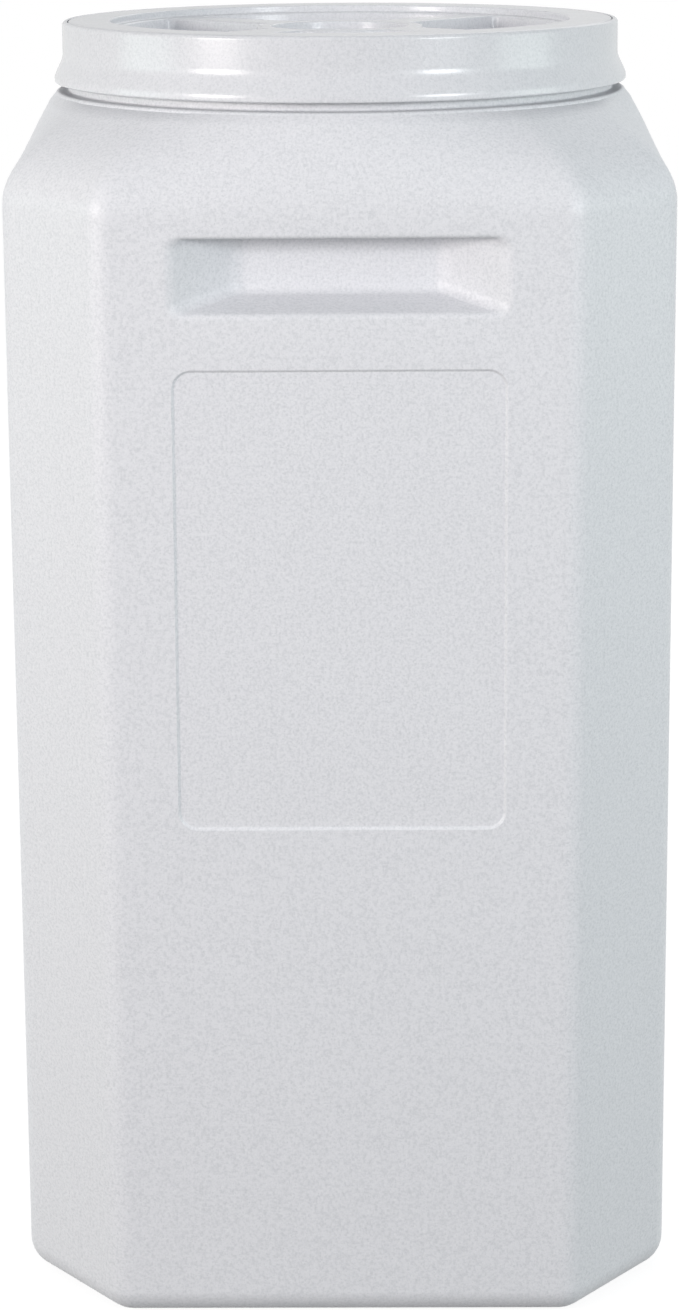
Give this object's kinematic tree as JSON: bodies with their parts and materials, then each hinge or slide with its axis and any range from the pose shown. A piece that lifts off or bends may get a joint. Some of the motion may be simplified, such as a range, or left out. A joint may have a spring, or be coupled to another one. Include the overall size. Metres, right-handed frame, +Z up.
{
  "type": "pet food bin",
  "caption": "Tall chamfered square storage bin with a round neck, a press-on adapter ring and an airtight screw-in spin lid, for dry pet food.",
  "frame": {"origin": "middle of the bin's footprint on the floor", "axes": "+Z up along the lid's axis, the front with the label panel faces -Y, +X to the right seen from the front"},
  "size_m": [0.358, 0.358, 0.697],
  "materials": {
    "body_plastic": "pale grey speckled blow-moulded plastic, satin",
    "ring_plastic": "pale grey speckled injection-moulded plastic, glossy",
    "lid_plastic": "pale grey speckled injection-moulded plastic, semi-gloss",
    "neck_rubber": "matt black",
    "lid_rubber": "matt black"
  },
  "bodies": {
    "bin": {"bin_body": "body_plastic", "adapter_ring": "ring_plastic", "neck_gasket": "neck_rubber"},
    "lid_carriage": {"lid_gasket": "lid_rubber"},
    "lid": {"spin_lid": "lid_plastic"}
  },
  "joints": [
    {"name": "lid_rise", "type": "slide", "parent": "bin", "child": "lid_carriage", "axis": [0, 0, 1], "range_m": [0, 0.0271]},
    {"name": "lid_turn", "type": "hinge", "parent": "lid_carriage", "child": "lid", "pos_m": [0, 0, 0.684], "axis": [0, 0, 1], "range_deg": [0, 540]}
  ],
  "couplings": [
    {"joint": "lid_rise", "follows": "lid_turn", "m_per_rad": 0.0028648}
  ]
}
